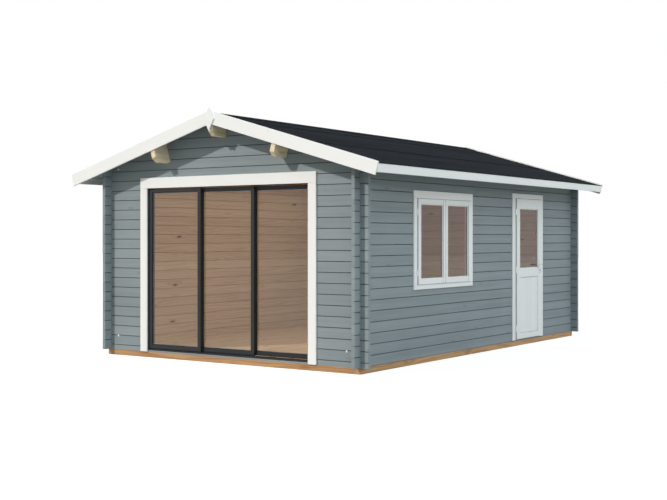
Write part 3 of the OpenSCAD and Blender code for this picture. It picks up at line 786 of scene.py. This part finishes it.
barge_w = 0.140
for node, side, face in (("front_bargeboards", "front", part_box("front_bargeboards")[0].y),
                         ("rear_bargeboards", "rear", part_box("rear_bargeboards")[1].y)):
    low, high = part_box(node)
    pair = Boards(node + "_planed")
    tip, peak, gap = high.x, high.z, 0.0005
    tip_z = peak - tip * slope
    for s in (-1, 1):
        outline = [(s * gap, peak - gap * slope - barge_w * plumb),
                   (s * (tip - barge_w * math.sin(pitch)), tip_z - barge_w * math.cos(pitch)),
                   (s * tip, tip_z), (s * gap, peak - gap * slope)]
        if s < 0:
            outline.reverse()
        pair.cut(outline, looking(side, (0, face, 0)), trim_t, 0.002, seed=911 + s,
                 run=-s * pitch)
    pair.done("house", "white_paint", [white_paint], node)

low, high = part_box("gable_plates")
plates = Boards("gable_plates_planed")
mid_z, diamond_t = (low.z + high.z) / 2, 0.016
for side, face in (("front", low.y), ("rear", high.y)):
    plates.cut([(0, low.z), (high.x, mid_z), (0, high.z), (low.x, mid_z)],
               looking(side, (0, face, 0)), diamond_t, 0.0035, seed=921, run=math.pi / 2)
plates.done("house", "white_paint", [white_paint], "gable_plates")


# --- Sliding door ---------------------------------------------------------
# A dark aluminium frame and three glazed panels that slide past each other on
# three rails, powder-coated, behind white casing boards nailed to the logs.

low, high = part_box("sliding_door_casing")
side_w, head_w, board_shy = 0.105, 0.122, 0.001
head_under = high.z - head_w
casing = Boards("sliding_door_casing_boards")
for i, (x0, x1) in enumerate(((low.x, low.x + side_w), (high.x - side_w, high.x))):
    casing.block((x0, low.y, low.z), (x1, high.y, head_under - board_shy), "front", 0.002,
                 seed=931 + i, run=math.pi / 2)
casing.block((low.x, low.y, head_under), (high.x, high.y, high.z), "front", 0.002, seed=933)
casing.done("house", "white_paint", [white_paint], "sliding_door_casing")


def powder_coat(name, base, edge):
    """Fine-textured powder coat on aluminium, a little dusty"""
    f = Finish(name)
    fleck = f.noise(f.spot(), 900.0, 2.0, 0.6)
    dust = f.noise(f.spot(), 5.0, 4.0, 0.6)
    f.lay("Base Color", f.tint(f.curve(dust, 0.35, 0.75, 0.0, 0.6), base, edge))
    f.lay("Roughness", f.curve(dust, 0.3, 0.7, 0.40, 0.54))
    f.lay("Specular IOR Level", 0.3)
    f.relief(fleck, 0.00012, 0.35)
    return f.material


anthracite = powder_coat("anthracite_coat", colour(29, 31, 35), colour(40, 42, 46))
seal = powder_coat("rubber_seal", colour(22, 22, 23), colour(34, 34, 35))
spacer = powder_coat("glazing_spacer", colour(168, 166, 152), colour(190, 188, 176))

low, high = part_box("sliding_door_frame")
jamb_w, head_h = 0.032, 0.020
rib_depths, rib_w, rib_out = (0.033, 0.065), 0.002, 0.003
surround = Boards("sliding_door_jambs")
for x0, x1 in ((low.x, low.x + jamb_w), (high.x - jamb_w, high.x)):
    surround.block((x0, low.y, low.z), (x1, high.y, high.z - head_h - board_shy), "front", 0.0012,
                   run=math.pi / 2)
    rib = high.x - jamb_w if x0 > 0 else low.x + jamb_w
    for depth in rib_depths:
        a, b = sorted((rib, rib - rib_out if x0 > 0 else rib + rib_out))
        surround.block((a, low.y + depth, low.z), (b, low.y + depth + rib_w, high.z - head_h),
                       "front", 0.0003)
surround.block((low.x, low.y, high.z - head_h), (high.x, high.y, high.z), "front", 0.0012)
surround.done("house", "dark_aluminium", [anthracite], "sliding_door_frame")

low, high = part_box("sliding_door_track")
track = Boards("sliding_door_rails")
rail_depths, rail_w, rail_h, rail_sunk = (0.015, 0.047, 0.079), 0.006, 0.005, 0.002
plate_top = high.z - rail_h
track.block((low.x, low.y, low.z), (high.x, high.y, plate_top), "front", 0.0012)
for depth in rail_depths:
    track.block((low.x + jamb_w, low.y + depth, plate_top - rail_sunk),
                (high.x - jamb_w, low.y + depth + rail_w, high.z), "front", 0.0012)
track.done("house", "dark_aluminium", [anthracite], "sliding_door_track")


def window_glass(name, tint, mirror):
    """Clear float glass: it lets light straight through, tints it a little and
    mirrors what it faces, more so at a slant"""
    f = Finish(name)
    f.tree.nodes.remove(f.skin)
    smear = f.noise(f.spot(), 2.6, 3.0)
    facing = f.add("ShaderNodeLayerWeight", {"Blend": 0.5}).outputs["Facing"]
    slant = f.sum("ADD", f.sum("MULTIPLY", f.sum("POWER", facing, 5.0), 0.92), 0.08)
    clear = f.add("ShaderNodeBsdfTransparent", {"Color": tint}).outputs["BSDF"]
    shine = f.add("ShaderNodeBsdfGlossy", {
        "Color": mirror, "Roughness": f.curve(smear, 0.3, 0.7, 0.012, 0.05)}).outputs["BSDF"]
    both = f.add("ShaderNodeMixShader", {0: slant, 1: clear, 2: shine}).outputs["Shader"]
    f.tree.links.new(both, f.tree.nodes["Material Output"].inputs["Surface"])
    return f.material


door_pane = window_glass("door_pane", (0.91, 0.89, 0.88, 1.0), (0.58, 0.58, 0.58, 1.0))


def dress(node, material):
    """Gives a CAD piece that keeps its shape its real finish"""
    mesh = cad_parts[node].data
    mesh.materials.clear()
    mesh.materials.append(material)


def four_strips(boards, low, high, width, side, ease, seeds=(0, 0), run=0.0):
    """Strips round a pane: two uprights at full height and two rails between them"""
    along = 0 if side == "front" else 1
    for at in (low[along], high[along] - width):
        a, b = list(low), list(high)
        a[along], b[along] = at, at + width
        boards.block(a, b, side, ease, seed=seeds[0], run=run)
    for at in (low[2], high[2] - width):
        a, b = list(low), list(high)
        a[along], b[along] = low[along] + width, high[along] - width
        a[2], b[2] = at, at + width
        boards.block(a, b, side, ease, seed=seeds[1])


stile, foot_rail, top_rail = 0.045, 0.046, 0.038
seal_w, seal_back, spacer_w, spacer_t = 0.005, 0.0045, 0.007, 0.0015
touch = 0.0001
for word in ("left", "middle", "right"):
    low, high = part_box("sliding_panel_" + word)
    body = "sliding_" + word
    bars = Boards("sliding_panel_" + word + "_bars")
    for x0, x1 in ((low.x, low.x + stile), (high.x - stile, high.x)):
        bars.block((x0, low.y, low.z), (x1, high.y, high.z), "front", 0.0015)
    for z0, z1 in ((low.z, low.z + foot_rail), (high.z - top_rail, high.z)):
        bars.block((low.x + stile + 0.0004, low.y + 0.0008, z0 + 0.0006),
                   (high.x - stile - 0.0004, high.y - 0.0008, z1 - 0.0006), "front", 0.0015)
    bars.done(body, "dark_aluminium", [anthracite], "sliding_panel_" + word)
    g_low, g_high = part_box("sliding_glass_" + word)
    strip = Boards("sliding_seal_" + word)
    for y0, y1 in ((low.y + seal_back, g_low.y - touch), (g_high.y + touch, high.y - seal_back)):
        four_strips(strip, (g_low.x, y0, g_low.z), (g_high.x, y1, g_high.z), seal_w, "front", 0.0012)
    strip.done(body, "dark_aluminium", [seal])
    spacers = Boards("sliding_spacer_" + word)
    y0 = g_high.y + touch
    four_strips(spacers, (g_low.x + seal_w, y0, g_low.z + seal_w),
                (g_high.x - seal_w, y0 + spacer_t, g_high.z - seal_w), spacer_w, "front", 0.0004)
    spacers.done(body, "dark_aluminium", [spacer])
    dress("sliding_glass_" + word, door_pane)


# --- Window ---------------------------------------------------------------
# Two white spruce sashes hung on lift-off hinges between casing boards, each
# glazed behind a bead, and closing against a frame let into the log wall.

low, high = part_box("window_casing")
casing = Boards("window_casing_boards")
w_side, w_top, w_foot = 0.065, 0.086, 0.052
casing.block((low.x, low.y, low.z), (high.x, high.y, low.z + w_foot - 0.001), "right", 0.002,
             seed=941)
casing.block((low.x, low.y, high.z - w_top + 0.001), (high.x, high.y, high.z), "right", 0.002,
             seed=942)
for i, (y0, y1) in enumerate(((low.y, low.y + w_side), (high.y - w_side, high.y))):
    casing.block((low.x, y0, low.z + w_foot), (high.x, y1, high.z - w_top), "right", 0.002,
                 seed=943 + i, run=math.pi / 2)
casing.done("house", "white_paint", [white_paint], "window_casing")

low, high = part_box("window_frame")
rim = 0.038
lining = Boards("window_frame_boards")
for i, (y0, y1) in enumerate(((low.y, low.y + rim), (high.y - rim, high.y))):
    lining.block((low.x, y0, low.z + rim), (high.x, y1, high.z - rim), "right", 0.0015,
                 seed=951 + i, run=math.pi / 2)
for i, (z0, z1) in enumerate(((low.z, low.z + rim), (high.z - rim, high.z))):
    lining.block((low.x, low.y, z0), (high.x, high.y, z1), "right", 0.0015, seed=953 + i)
lining.done("house", "bare_spruce", [white_paint], "window_frame")

low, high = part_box("window_sashes")
pane_low, pane_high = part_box("window_glass")
meet = (low.y + high.y) / 2
meet_gap, meet_stile, bead = 0.001, 0.054, 0.009
sashes = Boards("window_sash_bars")
for i, (y0, y1, g0, g1) in enumerate((
        (low.y, meet - meet_gap, pane_low.y, meet - meet_stile),
        (meet + meet_gap, high.y, meet + meet_stile, pane_high.y))):
    for k, (a, b) in enumerate(((y0, g0), (g1, y1))):
        # Each stile's edges and the eased sides along them take the darker white: painted shade in
        # the gaps round the sashes
        sashes.block((low.x, a, low.z), (high.x, b, high.z), "right", 0.003,
                     seed=961 + 4 * i + k, run=math.pi / 2, skins=(0, 1, 0),
                     joints={(0, 1): 1, (0, 3): 1})
    for k, (a, b) in enumerate(((low.z, pane_low.z), (pane_high.z, high.z))):
        sashes.block((low.x + 0.0006, g0 + 0.0002, a), (high.x - 0.0006, g1 - 0.0002, b),
                     "right", 0.003, seed=963 + 4 * i + k)
    for x0, x1 in ((pane_high.x, pane_high.x + bead), (pane_low.x - bead, pane_low.x)):
        four_strips(sashes, (x0, g0, pane_low.z), (x1, g1, pane_high.z), bead, "right", 0.003,
                    (970, 971), math.pi / 2)
# A dark strip in the rubber seal finish fills the gap where the two sashes meet: painted shade in
# that gap
sashes.block((low.x + 0.002, meet - 0.0009, low.z + 0.001),
             (high.x - 0.001, meet + 0.0009, high.z - 0.001), "right", 0.0003, skins=(2, 2, 2))
sashes.done("house", "white_paint", [white_paint, painted_shade_white_joint, seal], "window_sashes")

sash_pane = window_glass("sash_pane", (0.77, 0.76, 0.76, 1.0), (0.58, 0.58, 0.60, 1.0))
dress("window_glass", sash_pane)
dress("window_hinges", zinc)


# --- Side door ------------------------------------------------------------
# A white spruce door with a glazed upper half and grooved boards below, on
# three lift-off hinges, with a lever on plates. Its casing boards and frame
# are nailed to the logs.

low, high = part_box("side_door_casing")
casing = Boards("side_door_casing_boards")
d_side, d_head = 0.088, 0.063
for i, (y0, y1) in enumerate(((low.y, low.y + d_side), (high.y - d_side, high.y))):
    casing.block((low.x, y0, low.z), (high.x, y1, high.z - d_head - 0.001), "right", 0.002,
                 seed=981 + i, run=math.pi / 2)
casing.block((low.x, low.y, high.z - d_head), (high.x, high.y, high.z), "right", 0.002, seed=983)
casing.done("house", "white_paint", [white_paint], "side_door_casing")

low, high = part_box("side_door_frame")
lining = Boards("side_door_frame_boards")
sill_h = 0.022
for i, (y0, y1) in enumerate(((low.y, low.y + rim), (high.y - rim, high.y))):
    lining.block((low.x, y0, low.z + sill_h + 0.001), (high.x, y1, high.z - rim - 0.001),
                 "right", 0.0015, seed=985 + i, run=math.pi / 2)
lining.block((low.x, low.y, high.z - rim), (high.x, high.y, high.z), "right", 0.0015, seed=987)
lining.block((low.x, low.y, low.z), (high.x, high.y, low.z + sill_h), "right", 0.0015, seed=988)
lining.done("house", "bare_spruce", [white_paint], "side_door_frame")

low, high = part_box("side_door_leaf")
pane_low, pane_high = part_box("side_door_glass")
leaf_stile, recess, panel_foot, panel_h = 0.093, 0.010, 0.070, 0.723
panel_z0 = low.z + panel_foot
panel_z1 = panel_z0 + panel_h
leaf = Boards("side_door_leaf_boards")
inner0, inner1 = low.y + leaf_stile, high.y - leaf_stile
lever_low, lever_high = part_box("side_door_lever")
lever_mid = (lever_low.z + lever_high.z) / 2
neck_foot = 0.009
spindle_y = lever_high.y - neck_foot
for i, (a, b) in enumerate(((low.y, inner0), (inner1, high.y))):
    # The stiles' edges take the darker white: painted shade in the gap round the leaf
    leaf.block((low.x, a, low.z), (high.x, b, high.z), "right", 0.002, seed=991 + i,
               run=math.pi / 2, skins=(0, 1, 0))
for i, (a, b) in enumerate(((low.z, panel_z0), (panel_z1, pane_low.z), (pane_high.z, high.z))):
    leaf.block((low.x + 0.0005, inner0 + 0.0003, a), (high.x - 0.0005, inner1 - 0.0003, b),
               "right", 0.002, seed=993 + i)
slats = 7
wide = (inner1 - inner0) / slats
for i in range(slats):
    leaf.block((low.x + recess, inner0 + i * wide, panel_z0 + 0.004),
               (high.x - recess, inner0 + (i + 1) * wide - 0.0002, panel_z1 - 0.004), "right",
               0.0035, seed=1100 + i, run=math.pi / 2)
lath = 0.010
for x0, x1 in ((high.x - recess, high.x - 0.002), (low.x + 0.002, low.x + recess)):
    for a, b in ((inner0, inner0 + lath), (inner1 - lath, inner1)):
        leaf.block((x0, a, panel_z0 + 0.001), (x1, b, panel_z1 - 0.001), "right", 0.003,
                   seed=1110, run=math.pi / 2)
for x0, x1 in ((pane_high.x, pane_high.x + bead), (pane_low.x - bead, pane_low.x)):
    four_strips(leaf, (x0, inner0, pane_low.z), (x1, inner1, pane_high.z), bead, "right", 0.003,
                (1111, 1112), math.pi / 2)
leaf.done("side_door", "white_paint", [white_paint, painted_shade_white_joint], "side_door_leaf")
dress("side_door_glass", sash_pane)
dress("side_door_hinge_pins", zinc)
dress("side_door_hinge_tops", zinc)


# --- Door furniture -------------------------------------------------------
# A brushed steel lever on each face of the door, on one spindle, over long
# rounded plates with a keyhole under the lever.


def brushed_steel(name):
    f = Finish(name)
    lines = f.noise(f.spot((900.0, 900.0, 30.0)), 1.0, 2.0, 0.5)
    haze = f.noise(f.spot(), 40.0, 3.0)
    f.lay("Base Color", f.tint(f.curve(haze, 0.3, 0.7), colour(212, 214, 216), colour(188, 190, 192)))
    f.lay("Metallic", 1.0)
    f.lay("Roughness", f.curve(lines, 0.3, 0.7, 0.24, 0.38))
    f.relief(lines, 0.00008, 0.3)
    return f.material


steel = brushed_steel("brushed_steel")
low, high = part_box("side_door_lock_plates")
plate_t = 0.006
key_low, key_high, key_half = 0.090, 0.058, 0.0055


def round_plate(y_mid, z0, z1, half, steps=8):
    """A plate's outline with rounded ends"""
    outline = []
    for z, turn in ((z0 + half, math.pi), (z1 - half, 0.0)):
        for k in range(steps + 1):
            a = turn + math.pi * k / steps
            outline.append((y_mid + half * math.cos(a), z + half * math.sin(a)))
    return outline


plates = Boards("side_door_plates")
for side, x in (("right", high.x), ("left", low.x)):
    s = 1 if side == "right" else -1
    outline = round_plate(s * spindle_y, low.z, high.z, (high.y - low.y) / 2)
    plates.cut(outline, looking(side, (x, 0, 0)), plate_t, 0.0015, seed=1201)
    # The keyhole is a dark insert in the rubber seal finish, standing a little proud of the plate:
    # painted shade where the hole would be
    hole = round_plate(s * spindle_y, lever_mid - key_low, lever_mid - key_high, key_half, 6)
    plates.cut(hole, looking(side, (x + s * 0.0012, 0, 0)), 0.0020, 0.0004, seed=1202,
               skins=(1, 1, 1))
plates.done("side_door", "steel", [steel, seal], "side_door_lock_plates")


def lever_half(s, x_from, x_to):
    """One handle: a round neck out from the door, a smooth bend and a grip"""
    path, radius = [], []
    reach, grip = abs(x_to - x_from), 0.007
    bend = 0.016
    for t in (0.0, 0.006, 0.010, 0.016, reach - grip - bend):
        path.append(Vector((x_from + s * t, spindle_y, lever_mid)))
        radius.append({0.0: neck_foot, 0.006: neck_foot, 0.010: 0.0080}.get(t, 0.0072))
    for k in range(1, 9):
        a = math.pi / 2 * k / 8
        path.append(Vector((x_from + s * (reach - grip - bend + bend * math.sin(a)),
                            spindle_y - bend * (1 - math.cos(a)), lever_mid)))
        radius.append(0.0072)
    end = lever_low.y
    for t in (0.2, 0.5, 0.8, 0.93, 0.975, 1.0):
        y = spindle_y - bend + (end - spindle_y + bend) * t
        path.append(Vector((x_to - s * grip, y, lever_mid)))
        radius.append({0.975: 0.0062, 1.0: 0.0036}.get(t, 0.0070))
    points, steps = [], 20
    for i, p in enumerate(path):
        ahead = (path[min(i + 1, len(path) - 1)] - path[max(i - 1, 0)]).normalized()
        side = ahead.cross(Vector((0, 0, 1))).normalized()
        for k in range(steps):
            a = 2 * math.pi * k / steps
            points.append(p + radius[i] * (side * math.cos(a) + Vector((0, 0, 1)) * math.sin(a)))
    return points, [face[::-1] for face in skin_of(len(path), steps)]


points, faces = [], []
for s, x_from, x_to in ((1, high.x + 0.001, lever_high.x), (-1, low.x - 0.001, lever_low.x)):
    more, quads = lever_half(s, x_from, x_to)
    faces += [[len(points) + k for k in q] for q in quads]
    points += more
levers = piece_of("door_levers", points, faces, steel)
levers.data.shade_smooth()
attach(levers, "side_door_handle")
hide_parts("side_door_lever")


# --- Ground, light and view -----------------------------------------------
# A plain pale floor and a white room round it, a low soft sun from the front
# left, an even sky that is a little stronger from the right, and a lamp inside
# the house that the camera doesn't see.

reach = 60.0
f = Finish("pale_ground")
f.lay("Base Color", (0.41, 0.41, 0.38, 1.0))
f.lay("Roughness", 0.9)
f.lay("Specular IOR Level", 0.1)
path = f.add("ShaderNodeLightPath")
seen = f.sum("MAXIMUM", path.outputs["Is Camera Ray"], path.outputs["Is Glossy Ray"])
glow = f.add("ShaderNodeEmission", {"Color": (1, 1, 1, 1), "Strength": 0.78}).outputs["Emission"]
plain = f.skin.outputs["BSDF"]
lit = f.add("ShaderNodeAddShader", {0: plain, 1: glow}).outputs["Shader"]
shown = f.add("ShaderNodeMixShader", {0: seen, 1: plain, 2: lit}).outputs["Shader"]
f.tree.links.new(shown, f.tree.nodes["Material Output"].inputs["Surface"])
corners = [(-reach, -reach, 0), (reach, -reach, 0), (reach, reach, 0), (-reach, reach, 0)]
ground = piece_of("ground", corners, [(0, 1, 2, 3)], f.material)

world = bpy.data.worlds.new("white_room")
bpy.context.scene.world = world
world.use_nodes = True
tree = world.node_tree
tree.nodes.clear()
path = tree.nodes.new("ShaderNodeLightPath")
sky = tree.nodes.new("ShaderNodeBackground")
white = tree.nodes.new("ShaderNodeBackground")
sky.inputs["Color"].default_value = (0.95, 0.98, 0.95, 1.0)
sky.inputs["Strength"].default_value = 0.30
white.inputs["Color"].default_value = (1.0, 1.0, 1.0, 1.0)
white.inputs["Strength"].default_value = 1.0
mix = tree.nodes.new("ShaderNodeMixShader")
out = tree.nodes.new("ShaderNodeOutputWorld")
seen = path.outputs["Is Camera Ray"]
for ray in ("Is Glossy Ray", "Is Transmission Ray"):
    either = tree.nodes.new("ShaderNodeMath")
    either.operation = "MAXIMUM"
    tree.links.new(seen, either.inputs[0])
    tree.links.new(path.outputs[ray], either.inputs[1])
    seen = either.outputs[0]
tree.links.new(seen, mix.inputs[0])
tree.links.new(sky.outputs[0], mix.inputs[1])
tree.links.new(white.outputs[0], mix.inputs[2])
tree.links.new(mix.outputs[0], out.inputs[0])


def sun(name, towards, strength, width, tint):
    """A far lamp that shines along a direction; width softens its shadows"""
    lamp = bpy.data.lights.new(name, "SUN")
    lamp.energy, lamp.angle, lamp.color = strength, math.radians(width), tint
    piece = bpy.data.objects.new(name, lamp)
    piece.rotation_euler = Vector(towards).to_track_quat("-Z", "Y").to_euler()
    bpy.context.scene.collection.objects.link(piece)


sun("low_sun", (0.423, 0.704, -0.571), 2.22, 1.6, (1.0, 0.95, 0.90))
sun("right_fill", (-0.80, 0.18, -0.57), 1.53, 70.0, (0.82, 0.93, 1.0))

room = bpy.data.lights.new("room_light", "AREA")
room.shape = "RECTANGLE"
room.size, room.size_y = 3.0, 3.8
room.energy, room.color = 19.5, (0.98, 0.98, 0.97)
ceiling = bpy.data.objects.new("room_light", room)
ceiling.location = (0, -0.7, 2.12)
ceiling.visible_camera = False
ceiling.visible_glossy = False
bpy.context.scene.collection.objects.link(ceiling)

camera = bpy.data.cameras.new("camera")
camera.sensor_fit = "HORIZONTAL"
camera.sensor_width = 36.0
camera.lens = 60.5
camera.shift_x = 0.0
camera.shift_y = -0.01925
camera.clip_end = 200.0
viewer = bpy.data.objects.new("camera", camera)
viewer.location = (8.033, -12.292, 1.399)
viewer.rotation_euler = (math.radians(90), 0, math.radians(34.514))
bpy.context.scene.collection.objects.link(viewer)
bpy.context.scene.camera = viewer
bpy.context.scene.view_settings.view_transform = "Standard"
